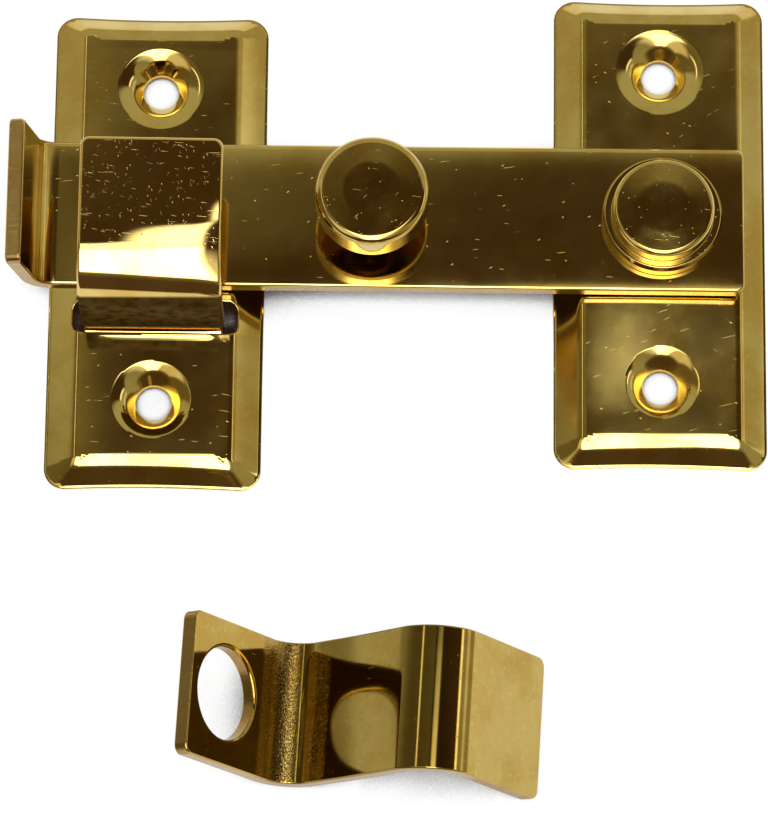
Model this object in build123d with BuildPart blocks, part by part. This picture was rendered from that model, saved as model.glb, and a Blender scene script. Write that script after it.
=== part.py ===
from build123d import *
from math import asin, atan2, cos, hypot, radians, sin, tan
import os

# Cabin hook. A flat latch arm turns on a stud in the pivot plate and drops into a bent strap that
# stands out of the keeper plate. A second keeper strap lies loose beside the set.
# The origin is the pivot axis on the plane of the plates' backs. The arm runs towards -X, the
# plates' long sides run along Y, and +Z points out of the door. Millimetres and degrees.

os.makedirs("parts", exist_ok=True)

# Pressed plates
keeper_plate_width = 28.8
pivot_plate_width = 28.4
screw_end_margin = 11.35
keeper_plate_extra = 0.4
plate_height = 3.2
sheet = 1.0
keeper_bevel_run = 4.0
pivot_bevel_run = 3.6
end_bevel_run = 2.8
plate_corner = 3.0
face_corner = 0.9
end_bow = 0.45
crease_round = 1.6
keeper_drop = 3.0

# Screw holes, pressed down as dimples that reach the plates' back plane
screw_spacing = 44.0
keeper_screw_rise = 0.35
screw_hole_radius = 2.35
countersink_radius = 4.7
countersink_angle = 90.0
dimple_round = 4.0

# Slot in the keeper plate
slot_width = 21.9
slot_height = 4.3
slot_corner = 1.2
slot_round = 0.4
slot_screw_gap = 9.3

# Bent straps, both stamped from the same strip
strap_width = 18.9
strap_thickness = 2.0
strap_corner = 1.3
strap_shift = 0.25
slot_play = 0.05
leg_lean = 0.4
lip_height = 19.0
lip_length = 19.9
flange_margin = 1.3
flange_clearance = 0.05
foot_bend = 2.1
lip_bend = 5.2
collar_clearance = 0.89

# Loose strap
spare_flange = 21.3
spare_leg = 27.8
spare_lip = 23.2
spare_lean = -10.5
spare_foot_bend = 3.5
spare_lip_bend = 4.5
spare_hole_setback = 13.5
spare_shift = -48.85
spare_drop = 67.2
spare_turn = -2.9

# Latch arm
arm_width = 20.2
arm_thickness = 2.2
arm_tail = 11.0
arm_reach = 82.7
arm_overhang = 15.2
arm_corner = 1.0
arm_face_round = 0.8
arm_back_round = 0.3
tab_height = 9.4
tab_lean = 12.0
tab_bend = 2.3
tab_corner = 1.4

# Pivot stud
shank_radius = 3.0
bore_clearance = 0.05
rivet_clearance = 0.02
head_clearance = 0.08
stud_flange_radius = 8.0
stud_flange_height = 1.6
stud_ring_radius = 7.7
stud_ring_height = 2.3
stud_disc_radius = 6.8
stud_disc_height = 4.6
stud_crown = 0.5
stud_round = 0.5
stud_tail_radius = 4.6
stud_tail_height = 1.7

# Dished spring washer
washer_radius = 6.5
washer_thickness = 0.4
washer_dish = 0.35
washer_bore_clearance = 0.1
washer_play = 0.05

# Lift knob
knob_reach = 38.7
knob_radius = 7.5
knob_height = 11.0
knob_head = 5.4
knob_crown = 0.35
knob_round = 1.0
knob_neck_radius = 2.75
knob_tail_radius = 2.0
knob_rivet_radius = 2.8
knob_rivet_depth = 0.8
knob_rivet_dome = 0.35

# A domed face rises by this share of its crown over the outer half of its radius
crown_share = 0.75
match = 0.001

# Heights built up from the back plane
sheet_back = plate_height - sheet
arm_bottom = plate_height + washer_dish + washer_thickness + washer_play
arm_top = arm_bottom + arm_thickness

# Section of a dimple: the wall is one sheet thick, so its back cone lies further out than its bowl
dimple_lean = radians(countersink_angle / 2)
dimple_seat = plate_height - (countersink_radius - screw_hole_radius) / tan(dimple_lean)
dimple_foot = screw_hole_radius + sheet / cos(dimple_lean) - dimple_seat * tan(dimple_lean)
dimple_back = dimple_foot + sheet_back * tan(dimple_lean)
strap_hole_radius = dimple_back + collar_clearance

# Plate lengths, and places of the keeper plate's screws, slot and strap
pivot_plate_length = screw_spacing + 2 * screw_end_margin
keeper_plate_length = pivot_plate_length + keeper_plate_extra
keeper_x = arm_overhang - arm_reach
keeper_y = -keeper_drop
strap_x = keeper_x - strap_shift
slot_bottom = keeper_y - screw_spacing / 2 + slot_screw_gap
leg_front = slot_bottom + foot_bend + slot_play
hole_setback = leg_front - keeper_y + screw_spacing / 2
flange_top = sheet_back - flange_clearance
screw_offsets = [-screw_spacing / 2, screw_spacing / 2]


def plate_outline(centre, height, width, length, corner):
    """Outline of a pressed plate at one height, its two ends bowed inwards."""
    half_width = width / 2
    half_length = length / 2
    with BuildSketch(Plane((centre[0], centre[1], height))) as outline:
        with BuildLine():
            Line((half_width, -half_length), (half_width, half_length))
            ThreePointArc(
                (half_width, half_length), (0, half_length - end_bow), (-half_width, half_length)
            )
            Line((-half_width, half_length), (-half_width, -half_length))
            ThreePointArc(
                (-half_width, -half_length), (0, end_bow - half_length), (half_width, -half_length)
            )
        make_face()
        fillet(outline.vertices(), corner)
    return outline.sketch


def rim_inset(run):
    """How far the tray's inner wall stands in from its rim."""
    return sheet / sin(atan2(plate_height, run))


def face_inset(run):
    """How far the back of the face stands in from the rim."""
    return run + sheet * tan(atan2(plate_height, run) / 2)


def press_plate(centre, width, length, side_run):
    """Shallow tray pressed from sheet: flat face, bevelled rim, hollow back."""
    inner_corner = max(plate_corner - sheet, face_corner)
    rim = plate_outline(centre, 0, width, length, plate_corner)
    face = plate_outline(
        centre, plate_height, width - 2 * side_run, length - 2 * end_bevel_run, face_corner
    )
    back_rim = plate_outline(
        centre,
        0,
        width - 2 * rim_inset(side_run),
        length - 2 * rim_inset(end_bevel_run),
        inner_corner,
    )
    back_face = plate_outline(
        centre,
        sheet_back,
        width - 2 * face_inset(side_run),
        length - 2 * face_inset(end_bevel_run),
        face_corner,
    )
    loft([rim, face], ruled=True)
    fillet(edges().group_by(Axis.Z)[-1], crease_round)
    loft([back_rim, back_face], ruled=True, mode=Mode.SUBTRACT)


def round_dimple(hole, rim_radius, height, radius):
    """Round the rim of one dimple where its cone meets the sheet."""
    circles = edges().filter_by(GeomType.CIRCLE)
    rims = circles.filter_by(lambda edge: abs(edge.radius - rim_radius) < match)
    fillet(rims.sort_by_distance((hole[0], hole[1], height))[0], radius)


def press_dimple(hole):
    """Countersunk dimple round one screw hole, its foot level with the rim of the plate."""
    axis = Axis((hole[0], hole[1], 0), (0, 0, 1))
    side = Plane((hole[0], hole[1], 0), x_dir=(1, 0, 0), z_dir=(0, -1, 0))
    with BuildSketch(side) as cup:
        Polygon(
            (0, 0),
            (dimple_foot, 0),
            (dimple_back, sheet_back),
            (dimple_back, plate_height),
            (0, plate_height),
            align=None,
        )
    revolve(cup.sketch, axis=axis)
    with BuildSketch(side) as bowl:
        Polygon(
            (0, 0),
            (screw_hole_radius, 0),
            (screw_hole_radius, dimple_seat),
            (countersink_radius, plate_height),
            (0, plate_height),
            align=None,
        )
    revolve(bowl.sketch, axis=axis, mode=Mode.SUBTRACT)
    round_dimple(hole, countersink_radius, plate_height, dimple_round)
    round_dimple(hole, dimple_back, sheet_back, dimple_round - sheet)


def bend_strap(side, flange, leg, lip, foot_radius, lip_radius, lean, setback):
    """Strap with two bends. The side view has its origin where flange and leg fronts meet."""
    half = strap_thickness / 2
    slope = tan(radians(lean))
    leg_line = half / cos(radians(lean))
    with BuildSketch(side) as profile:
        with BuildLine():
            FilletPolyline(
                (-flange, -half),
                (leg_line - half * slope, -half),
                (leg_line + (leg - half) * slope, leg - half),
                (leg * slope + lip, leg - half),
                radius=[foot_radius + half, lip_radius + half],
            )
        trace(line_width=strap_thickness)
    extrude(profile.sketch, amount=strap_width / 2, both=True)
    ends = edges().filter_by(GeomType.LINE)
    fillet(ends.filter_by(lambda edge: abs(edge.length - strap_thickness) < match), strap_corner)
    place = side.from_local_coords(Vector(-setback, 0, 0))
    with BuildSketch(Plane(place, z_dir=side.y_dir)) as hole:
        Circle(strap_hole_radius)
    extrude(hole.sketch, amount=-strap_thickness, mode=Mode.SUBTRACT)


with BuildPart() as keeper_plate:
    centre = (keeper_x, keeper_y - keeper_screw_rise)
    press_plate(centre, keeper_plate_width, keeper_plate_length, keeper_bevel_run)
    for offset in screw_offsets:
        press_dimple((keeper_x, keeper_y + offset))
    with BuildSketch(Plane((keeper_x, slot_bottom + slot_height / 2, 0))) as slot:
        RectangleRounded(slot_width, slot_height, slot_corner)
    extrude(slot.sketch, amount=plate_height, mode=Mode.SUBTRACT)
    slot_rim = edges().group_by(Axis.Z)[-1].filter_by(
        lambda edge: abs(edge.center().Y - slot_bottom - slot_height / 2) < slot_height / 2 + match
        and abs(edge.center().X - keeper_x) < slot_width / 2 + match
    )
    fillet(slot_rim, slot_round)
keeper_plate.part.label = "keeper_plate"

with BuildPart() as keeper_strap:
    bend_strap(
        Plane((strap_x, leg_front, flange_top), x_dir=(0, 1, 0), z_dir=(1, 0, 0)),
        hole_setback + strap_hole_radius + flange_margin,
        lip_height - flange_top,
        lip_length,
        foot_bend,
        lip_bend,
        leg_lean,
        hole_setback,
    )
keeper_strap.part.label = "keeper_strap"

with BuildPart() as pivot_plate:
    press_plate((0, 0), pivot_plate_width, pivot_plate_length, pivot_bevel_run)
    for offset in screw_offsets:
        press_dimple((0, offset))
    with BuildSketch(Plane.XY) as stud_hole:
        Circle(shank_radius + rivet_clearance)
    extrude(stud_hole.sketch, amount=plate_height, mode=Mode.SUBTRACT)
pivot_plate.part.label = "pivot_plate"

with BuildPart() as latch_arm:
    half = arm_thickness / 2
    tab_root = -arm_reach - half / tan(radians(45 + tab_lean / 2))
    tab_rise = tab_height + half
    with BuildSketch(Plane.XZ) as arm_side:
        with BuildLine():
            FilletPolyline(
                (arm_tail, arm_top - half),
                (tab_root, arm_top - half),
                (tab_root - tab_rise * tan(radians(tab_lean)), arm_top + tab_height),
                radius=tab_bend + half,
            )
        trace(line_width=arm_thickness)
    extrude(arm_side.sketch, amount=arm_width / 2, both=True)
    fillet(edges().filter_by(Axis.Z).group_by(Axis.X)[-1], arm_corner)
    tips = edges().filter_by(GeomType.LINE)
    tips = tips.filter_by(lambda edge: abs(edge.length - arm_thickness) < match)
    fillet(tips.sort_by(Axis.X)[:2], tab_corner)
    fillet(faces().filter_by(Axis.Z).sort_by(Axis.Z)[-1].edges().filter_by(Axis.X), arm_face_round)
    fillet(faces().filter_by(Axis.Z).sort_by(Axis.Z)[0].edges().filter_by(Axis.X), arm_back_round)
    with BuildSketch(Plane.XY.offset(arm_bottom)) as bores:
        Circle(shank_radius + bore_clearance)
        with Locations((-knob_reach, 0)):
            Circle(knob_tail_radius + rivet_clearance)
    extrude(bores.sketch, amount=arm_thickness, mode=Mode.SUBTRACT)
    with Locations((-knob_reach, 0, arm_bottom)):
        Cone(
            knob_rivet_radius + rivet_clearance,
            knob_tail_radius + rivet_clearance,
            knob_rivet_depth,
            align=(Align.CENTER, Align.CENTER, Align.MIN),
            mode=Mode.SUBTRACT,
        )
latch_arm.part.label = "latch_arm"

with BuildPart() as pivot_stud:
    seat = arm_top + head_clearance
    crown = seat + stud_disc_height + stud_crown
    with BuildSketch(Plane.XZ) as stud_side:
        with BuildLine():
            Polyline(
                (0, crown),
                (0, sheet_back - stud_tail_height),
                (stud_tail_radius - stud_tail_height / 2, sheet_back - stud_tail_height),
                (stud_tail_radius, sheet_back),
                (shank_radius, sheet_back),
                (shank_radius, seat),
                (stud_flange_radius, seat),
                (stud_flange_radius, seat + stud_flange_height),
                (stud_ring_radius, seat + stud_ring_height),
                (stud_disc_radius, seat + stud_ring_height),
                (stud_disc_radius, seat + stud_disc_height),
            )
            ThreePointArc(
                (stud_disc_radius, seat + stud_disc_height),
                (stud_disc_radius / 2, crown - stud_crown * (1 - crown_share)),
                (0, crown),
            )
        make_face()
    revolve(stud_side.sketch, axis=Axis.Z)
    rim = edges().filter_by(GeomType.CIRCLE).filter_by(
        lambda edge: abs(edge.arc_center.Z - seat - stud_disc_height) < match
    )
    fillet(rim, stud_round)
pivot_stud.part.label = "pivot_stud"

with BuildPart() as pivot_washer:
    bore = shank_radius + washer_bore_clearance
    with BuildSketch(Plane.XZ) as washer_side:
        Polygon(
            (bore, plate_height + washer_dish),
            (washer_radius, plate_height),
            (washer_radius, plate_height + washer_thickness),
            (bore, plate_height + washer_dish + washer_thickness),
            align=None,
        )
    revolve(washer_side.sketch, axis=Axis.Z)
pivot_washer.part.label = "pivot_washer"

with BuildPart() as lift_knob:
    knob_top = arm_top + knob_height
    knob_edge = knob_top - knob_crown
    knob_place = Plane((-knob_reach, 0, 0), x_dir=(1, 0, 0), z_dir=(0, -1, 0))
    with BuildSketch(knob_place) as knob_side:
        with BuildLine():
            Polyline(
                (0, knob_top),
                (0, arm_bottom - knob_rivet_dome),
            )
            ThreePointArc(
                (0, arm_bottom - knob_rivet_dome),
                (knob_rivet_radius / 2, arm_bottom - knob_rivet_dome * crown_share),
                (knob_rivet_radius, arm_bottom),
            )
            Polyline(
                (knob_rivet_radius, arm_bottom),
                (knob_tail_radius, arm_bottom + knob_rivet_depth),
                (knob_tail_radius, arm_top),
                (knob_neck_radius, arm_top),
                (knob_neck_radius, knob_top - knob_head),
                (knob_radius, knob_top - knob_head),
                (knob_radius, knob_edge),
            )
            ThreePointArc(
                (knob_radius, knob_edge),
                (knob_radius / 2, knob_top - knob_crown * (1 - crown_share)),
                (0, knob_top),
            )
        make_face()
    revolve(knob_side.sketch, axis=Axis((-knob_reach, 0, 0), (0, 0, 1)))
    rim = edges().filter_by(GeomType.CIRCLE).filter_by(
        lambda edge: abs(edge.arc_center.Z - knob_edge) < match
    )
    fillet(rim, knob_round)
lift_knob.part.label = "lift_knob"

# The loose strap rests on the back of its foot bend and on the end of its lip
bend_back = spare_foot_bend + strap_thickness
bend_along = spare_foot_bend * (tan(radians(spare_lean)) - 1 / cos(radians(spare_lean)))
rest_along = spare_leg * tan(radians(spare_lean)) + spare_lip - bend_along
rest_up = spare_leg - strap_thickness - spare_foot_bend
rest_turn = -asin(bend_back / hypot(rest_along, rest_up)) - atan2(rest_up, rest_along)
spare_lift = bend_back - bend_along * sin(rest_turn) - spare_foot_bend * cos(rest_turn)
lie = radians(spare_turn)

with BuildPart() as spare_keeper_strap:
    bend_strap(
        Plane(
            (spare_shift, -spare_drop, spare_lift),
            x_dir=(cos(rest_turn) * cos(lie), cos(rest_turn) * sin(lie), sin(rest_turn)),
            z_dir=(sin(lie), -cos(lie), 0),
        ),
        spare_flange,
        spare_leg,
        spare_lip,
        spare_foot_bend,
        spare_lip_bend,
        spare_lean,
        spare_hole_setback,
    )
spare_keeper_strap.part.label = "spare_keeper_strap"

for piece in (
    keeper_plate,
    keeper_strap,
    pivot_plate,
    latch_arm,
    pivot_stud,
    pivot_washer,
    lift_knob,
    spare_keeper_strap,
):
    export_step(piece.part, f"parts/{piece.part.label}.step")
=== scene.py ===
from math import asin, atan2, ceil, cos, hypot, pi, radians, sin, tan

import bpy
import numpy as np
from mathutils import Matrix, Vector
from mathutils.geometry import delaunay_2d_cdt


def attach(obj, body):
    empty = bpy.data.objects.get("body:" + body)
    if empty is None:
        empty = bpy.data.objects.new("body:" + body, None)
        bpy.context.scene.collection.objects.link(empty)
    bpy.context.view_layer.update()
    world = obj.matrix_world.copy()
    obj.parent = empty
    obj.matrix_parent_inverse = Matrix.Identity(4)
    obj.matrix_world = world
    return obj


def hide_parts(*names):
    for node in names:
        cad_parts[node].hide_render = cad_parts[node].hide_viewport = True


# A cabin hook in polished brass with its loose spare strap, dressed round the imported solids.
# Lengths are millimetres until a mesh or the camera is made, and MM turns them into metres.
# The floor's own sizes are metres, and the relief of a material is in micrometres.

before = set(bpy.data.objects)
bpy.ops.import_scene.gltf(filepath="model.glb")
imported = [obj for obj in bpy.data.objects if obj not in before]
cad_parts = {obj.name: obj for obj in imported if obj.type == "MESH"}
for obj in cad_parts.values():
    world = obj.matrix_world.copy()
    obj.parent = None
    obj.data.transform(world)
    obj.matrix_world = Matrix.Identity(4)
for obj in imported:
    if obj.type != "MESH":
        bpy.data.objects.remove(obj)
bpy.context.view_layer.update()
MM = 0.001
MICROMETRE = 1e-6

# Sizes of the solids
keeper_plate_length = 67.1
keeper_plate_width = 28.8
pivot_plate_length = 66.7
pivot_plate_width = 28.4
plate_height = 3.2
sheet = 1.0
keeper_bevel_run = 4.0
pivot_bevel_run = 3.6
end_bevel_run = 2.8
plate_corner = 3.0
face_corner = 0.9
end_bow = 0.45
plate_pitch = 67.5
keeper_drop = 3.0
keeper_screw_rise = 0.35
screw_spacing = 44.0
screw_hole_radius = 2.35
countersink_radius = 4.7
slot_width = 21.9
slot_height = 4.3
slot_corner = 1.2
slot_bottom = -15.7
strap_width = 18.9
strap_thickness = 2.0
strap_corner = 1.3
strap_hole_radius = 6.004
arm_width = 20.2
arm_thickness = 2.2
arm_bottom = 4.0
arm_top = 6.2
arm_tail = 11.0
arm_reach = 82.7
arm_corner = 1.1
tab_height = 9.4
tab_lean = 12.0
tab_bend = 2.3
shank_radius = 3.0
collar_radius = 8.0
head_radius = 6.8
knob_reach = 38.7
knob_radius = 7.5
knob_height = 11.0
knob_neck_radius = 2.75
knob_pin_radius = 2.0
washer_bore = 3.1
washer_rim = 6.5
washer_bottom = 3.2
washer_dish = 0.35
washer_thickness = 0.4

# How the metal was worked
side_crease = 1.4
end_crease = 3.6
dimple_round = 4.0
bow_fade = 2.2
plate_rim_break = 0.1
screw_hole_break = 0.12
slot_break = 0.3
plate_back_break = 0.05
strap_hole_break = 0.2
edge_break = 0.22
rim_edge = 0.12

# How finely the meshes are cut, and how far their inner points keep from the edges
mesh_step = 0.45
edge_step = 0.3
plate_step = 0.36
plate_clear = 0.35
dimple_clear = 0.25
strap_step = 0.42
strap_clear = 0.5
arm_step = 0.55
arm_clear = 1.0
bend_step = 0.3
bend_clear = 0.95
dimple_rings = 22
dimple_rings_end = 6.6
plain_grid_start = 6.8


# Mesh making


def add_piece(name, made, material, body, node):
    """One smooth mesh in place of a CAD node. Its finish follows the flat blank, kept as two attributes."""
    points, faces, normals, blank, cut = made
    mesh = bpy.data.meshes.new(name)
    mesh.from_pydata((np.asarray(points) * MM).tolist(), [], faces)
    mesh.polygons.foreach_set("use_smooth", [True] * len(mesh.polygons))
    mesh.normals_split_custom_set_from_vertices(np.asarray(normals).tolist())
    on_blank = mesh.attributes.new("blank", "FLOAT_VECTOR", "POINT")
    on_blank.data.foreach_set("vector", np.asarray(blank, np.float32).ravel())
    on_cut = mesh.attributes.new("cut", "FLOAT", "POINT")
    on_cut.data.foreach_set("value", np.asarray(cut, np.float32))
    mesh.materials.append(material)
    piece = bpy.data.objects.new(name, mesh)
    bpy.context.scene.collection.objects.link(piece)
    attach(piece, body)
    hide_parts(node)


def rounded_rectangle(centre, size, corner, step=mesh_step, arc_points=9):
    """Points and outward normals round a rounded rectangle, anticlockwise."""
    points = []
    normals = []
    half = (size[0] / 2 - corner, size[1] / 2 - corner)
    for quarter in range(4):
        start = quarter * pi / 2
        middle = Vector((half[0] if quarter in (0, 3) else -half[0], half[1] if quarter < 2 else -half[1]))
        for k in range(arc_points):
            angle = start + k * pi / 2 / (arc_points - 1)
            normal = Vector((cos(angle), sin(angle)))
            points.append(middle + corner * normal)
            normals.append(normal)
        run = 2 * (half[0] if quarter % 2 == 0 else half[1])
        count = max(1, ceil(run / step))
        along = Vector((-sin(start + pi / 2), cos(start + pi / 2)))
        corner_end = points[-1]
        for k in range(1, count):
            points.append(corner_end + along * (run * k / count))
            normals.append(normals[-1])
    points = [(p.x + centre[0], p.y + centre[1]) for p in points]
    return np.array(points), np.array([tuple(n) for n in normals])


def circle(centre, radius, count=96):
    """Points round a hole, with normals that point into it."""
    angles = np.arange(count) * 2 * pi / count
    ring = np.stack([np.cos(angles), np.sin(angles)], axis=1)
    return np.array(centre) + radius * ring, -ring


def turned_in(loop):
    """The same loop as the rim of a hole, its normals pointing into the hole."""
    return loop[0], -loop[1]


def lattice(low, high, step, loops, clear):
    """Grid points between two corners that keep clear of every loop and out of the holes."""
    counts = [max(2, ceil((high[i] - low[i]) / step) + 1) for i in range(2)]
    u, v = np.meshgrid(np.linspace(low[0], high[0], counts[0]), np.linspace(low[1], high[1], counts[1]))
    points = np.stack([u.ravel(), v.ravel()], axis=1)
    return keep_clear(points, loops, clear)


def keep_clear(points, loops, clear):
    """Points that lie in the metal, at least the given distance in from each loop."""
    for ring, normals in loops:
        nearest = np.empty(len(points), int)
        for start in range(0, len(points), 2000):
            block = points[start:start + 2000]
            gap = ((block[:, None, :] - ring[None, :, :]) ** 2).sum(axis=2)
            nearest[start:start + 2000] = gap.argmin(axis=1)
        inward = ((points - ring[nearest]) * normals[nearest]).sum(axis=1)
        points = points[inward < -clear]
    return points


def encloses(rim, point):
    """Whether a point lies inside a closed line of points."""
    following = np.roll(rim, -1, axis=0)
    straddles = (rim[:, 1] > point[1]) != (following[:, 1] > point[1])
    one, two = rim[straddles], following[straddles]
    crossing = one[:, 0] + (point[1] - one[:, 1]) / (two[:, 1] - one[:, 1]) * (two[:, 0] - one[:, 0])
    return bool((crossing > point[0]).sum() % 2)


def surface_points(place, u, v, h, direction):
    """Places of the points, and their normals from the directions they have in the flat blank."""
    tiny = 0.004
    at = place(u, v, h)
    along = (place(u + tiny, v, h) - place(u - tiny, v, h)) / (2 * tiny)
    across = (place(u, v + tiny, h) - place(u, v - tiny, h)) / (2 * tiny)
    through = (place(u, v, h + tiny) - place(u, v, h - tiny)) / (2 * tiny)
    normal = (
        direction[:, 0:1] * np.cross(across, through)
        + direction[:, 1:2] * np.cross(through, along)
        + direction[:, 2:3] * np.cross(along, across)
    )
    turn = np.sign((along * np.cross(across, through)).sum(axis=1, keepdims=True))
    normal = normal * turn
    return at, normal / np.linalg.norm(normal, axis=1, keepdims=True), turn.sum() < 0


def fill_blank(loops, fronts, inner):
    """Flat points, the first point of each loop, and the triangles that fill the metal between the loops."""
    flat, starts, constraints = [], [], []
    for (ring, normals), front in zip(loops, fronts):
        start, count = len(flat), len(ring)
        starts.append(start)
        flat.extend((ring - normals * np.reshape(front, (-1, 1))).tolist())
        constraints.extend([(start + k, start + (k + 1) % count) for k in range(count)])
    flat.extend(inner.tolist())
    result = delaunay_2d_cdt([Vector(p) for p in flat], constraints, [], 1, 1e-6, True)
    origin = [group[0] for group in result[3]]
    flat = np.array(flat)
    loop_of = np.full(len(flat), -1)
    for number, ((ring, _), start) in enumerate(zip(loops, starts)):
        loop_of[start:start + len(ring)] = number
    triangles = []
    for face in result[2]:
        a, b, c = (origin[k] for k in face)
        number = loop_of[a]
        if number >= 0 and number == loop_of[b] == loop_of[c]:
            rim = flat[starts[number]:starts[number] + len(loops[number][0])]
            if encloses(rim, flat[[a, b, c]].mean(axis=0)) == (number > 0):
                continue
        triangles.append((a, b, c))
    return flat, starts, anticlockwise(flat, triangles)


def anticlockwise(flat, triangles):
    """The same triangles, all turning the same way."""
    a, b, c = (flat[[triangle[k] for triangle in triangles]] for k in range(3))
    area = (b[:, 0] - a[:, 0]) * (c[:, 1] - a[:, 1]) - (b[:, 1] - a[:, 1]) * (c[:, 0] - a[:, 0])
    return [(p, r, q) if size < 0 else (p, q, r) for (p, q, r), size in zip(triangles, area)]


def edge_rings(ring, normals, front, behind, thickness, steps):
    """Rings that round one loop's edge from front to back: blank points, heights and directions."""
    count = len(ring)
    front = np.reshape(front, (-1, 1)) * np.ones((count, 1))
    behind = np.reshape(behind, (-1, 1)) * np.ones((count, 1))
    turns = [pi / 2 * k / steps for k in range(1, steps + 1)]
    turns += [pi / 2 + pi / 2 * k / steps for k in range(steps)]
    rings = []
    for number, turn in enumerate(turns):
        size = front if number < steps else behind
        height = thickness - size * (1 - cos(turn)) if number < steps else size * (1 + cos(turn))
        direction = np.hstack([normals * sin(turn), np.full((count, 1), cos(turn))])
        rings.append((ring - normals * size * (1 - sin(turn)), height[:, 0], direction))
    return rings


def blank_mesh(loops, inner, place, thickness, fronts, backs, steps=6):
    """Mesh of a sheet blank, carried into its final shape by place(u, v, h). Each loop's edge is rounded
    by its sizes in fronts and backs."""
    flat, starts, triangles = fill_blank(loops, fronts, inner)
    total = len(flat)
    back = flat.copy()
    for (ring, normals), behind, start in zip(loops, backs, starts):
        back[start:start + len(ring)] = ring - normals * np.reshape(behind, (-1, 1))
    up = np.tile([0.0, 0.0, 1.0], (total, 1))
    layers = [(flat, np.full(total, thickness), up), (back, np.zeros(total), -up)]
    faces = []
    for p, q, r in triangles:
        faces += [(p, q, r), (total + p, total + r, total + q)]
    filled = 2 * total
    for (ring, normals), front, behind, start in zip(loops, fronts, backs, starts):
        count = len(ring)
        previous = np.arange(start, start + count)
        for layer in edge_rings(ring, normals, front, behind, thickness, steps):
            layers.append(layer)
            current = np.arange(filled, filled + count)
            filled += count
            faces += ring_faces(previous, current, start == 0)
            previous = current
        faces += ring_faces(previous, np.arange(total + start, total + start + count), start == 0)
    uv, h, direction = (np.concatenate(parts) for parts in zip(*layers))
    points, normals, turned = surface_points(place, uv[:, 0], uv[:, 1], h, direction)
    if turned:
        faces = [face[::-1] for face in faces]
    return points, faces, normals, np.column_stack([uv, h]), np.hypot(direction[:, 0], direction[:, 1])


def ring_faces(upper, lower, outer):
    """Quads between two rings of the same count."""
    count = len(upper)
    quads = []
    for k in range(count):
        n = (k + 1) % count
        quad = (int(upper[k]), int(lower[k]), int(lower[n]), int(upper[n]))
        quads.append(quad if outer else quad[::-1])
    return quads


def unit(vector):
    return vector / np.linalg.norm(vector)


def rounded_profile(profile):
    """Points along a profile of (radius, height, corner rounding), each with the normal there."""
    samples = []
    for k, (r, z, rounding) in enumerate(profile):
        here = np.array([r, z])
        one = unit(here - np.array(profile[k - 1][:2])) if k else None
        two = unit(np.array(profile[k + 1][:2]) - here) if k < len(profile) - 1 else None
        if one is None or two is None:
            along = two if one is None else one
            samples.append((r, z, along[1], -along[0]))
            continue
        bend = atan2(one[0] * two[1] - one[1] * two[0], float(one @ two))
        if rounding <= 0 or abs(bend) < 1e-3:
            samples.append((r, z, one[1], -one[0]))
            samples.append((r, z, two[1], -two[0]))
            continue
        cut = rounding * tan(abs(bend) / 2)
        steps = max(3, ceil(abs(bend) / radians(9)))
        side = 1 if bend > 0 else -1
        spoke = np.array([one[1], -one[0]]) * side
        middle = here - one * cut - spoke * rounding
        for s in range(steps + 1):
            turn = bend * s / steps
            turned = np.array([
                spoke[0] * cos(turn) - spoke[1] * sin(turn), spoke[0] * sin(turn) + spoke[1] * cos(turn)
            ])
            samples.append((*(middle + turned * rounding), *(turned * side)))
    return samples


def lathe_mesh(profile, segments=128):
    """Turned part whose profile runs from the axis round to the axis."""
    points, normals, faces, rings = [], [], [], []
    for r, z, nr, nz in rounded_profile(profile):
        if r < 1e-6:
            rings.append([len(points)])
            points.append((0, 0, z))
            normals.append((0, 0, 1 if nz > 0 else -1))
            continue
        ring = []
        for s in range(segments):
            angle = 2 * pi * s / segments
            ring.append(len(points))
            points.append((r * cos(angle), r * sin(angle), z))
            normals.append((nr * cos(angle), nr * sin(angle), nz))
        rings.append(ring)
    for one, two in zip(rings, rings[1:]):
        for s in range(segments):
            n = (s + 1) % segments
            if len(one) == 1:
                faces.append((one[0], two[n], two[s]))
            elif len(two) == 1:
                faces.append((one[s], one[n], two[0]))
            else:
                faces.append((one[n], two[n], two[s], one[s]))
    points = np.array(points, float)
    return points, faces, np.array(normals, float), points.copy(), np.zeros(len(points))


def bent_line(corners, radii):
    """Centre line of a bent strip: its length, where its runs end, and a function of the developed length."""
    corners = [np.array(c, float) for c in corners]
    runs = []
    at = corners[0]
    for k in range(1, len(corners)):
        aim = corners[k] - at
        heading = atan2(aim[1], aim[0])
        if k == len(corners) - 1:
            runs.append((hypot(*aim), at, heading, 0.0))
            break
        following = corners[k + 1] - corners[k]
        turn = atan2(following[1], following[0]) - heading
        cut = radii[k - 1] * tan(abs(turn) / 2)
        unit = aim / hypot(*aim)
        runs.append((hypot(*aim) - cut, at, heading, 0.0))
        bend_start = corners[k] - unit * cut
        runs.append((radii[k - 1] * abs(turn), bend_start, heading, (1 if turn > 0 else -1) / radii[k - 1]))
        at = corners[k] + following / hypot(*following) * cut
    ends = np.cumsum([0.0] + [run[0] for run in runs])

    def on_line(u):
        number = np.clip(np.searchsorted(ends, u, side="right") - 1, 0, len(runs) - 1)
        place = np.empty((len(u), 2))
        heading = np.empty(len(u))
        for k, (_, start, angle, curve) in enumerate(runs):
            mine = number == k
            along = u[mine] - ends[k]
            if curve == 0:
                place[mine] = start + along[:, None] * np.array([cos(angle), sin(angle)])
                heading[mine] = angle
            else:
                turned = angle + along * curve
                place[mine, 0] = start[0] + (np.sin(turned) - sin(angle)) / curve
                place[mine, 1] = start[1] - (np.cos(turned) - cos(angle)) / curve
                heading[mine] = turned
        return place, heading

    return float(ends[-1]), ends, on_line


def ease(value, start, end):
    """Smooth step from 0 at start to 1 at end."""
    t = np.clip((value - start) / (end - start), 0, 1)
    return t * t * (3 - 2 * t)


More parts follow.
